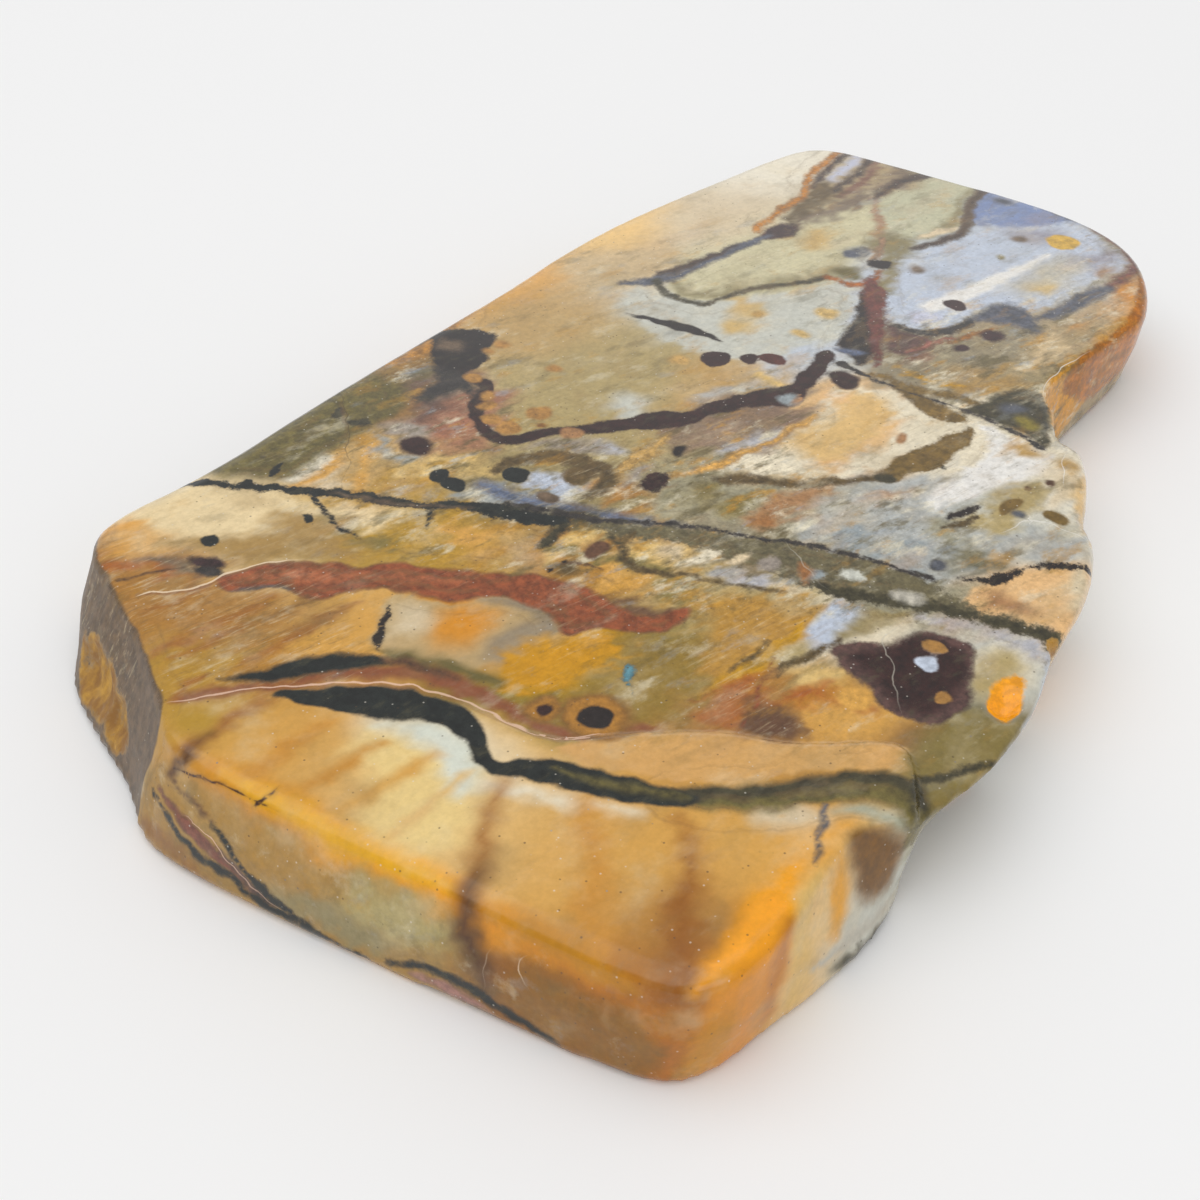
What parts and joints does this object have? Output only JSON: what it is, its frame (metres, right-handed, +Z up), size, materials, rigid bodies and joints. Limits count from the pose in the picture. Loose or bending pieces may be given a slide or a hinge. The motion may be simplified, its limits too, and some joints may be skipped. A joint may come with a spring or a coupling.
{
  "type": "jasper slab",
  "caption": "Thick slab of banded orbicular jasper with a polished top, rounded rim, notched right side and one broken facet, lying flat.",
  "frame": {"origin": "middle of the bounding box at the flat base", "axes": "+Z up through the thickness, +Y along the length towards the far narrow end, +X towards the notched side"},
  "size_m": [0.0642, 0.1012, 0.008],
  "materials": {
    "stone": "polished opaque stone, mustard, cream, olive and brick bands with dark veins and orbs"
  },
  "bodies": {
    "root": {"slab": "stone"}
  },
  "joints": []
}
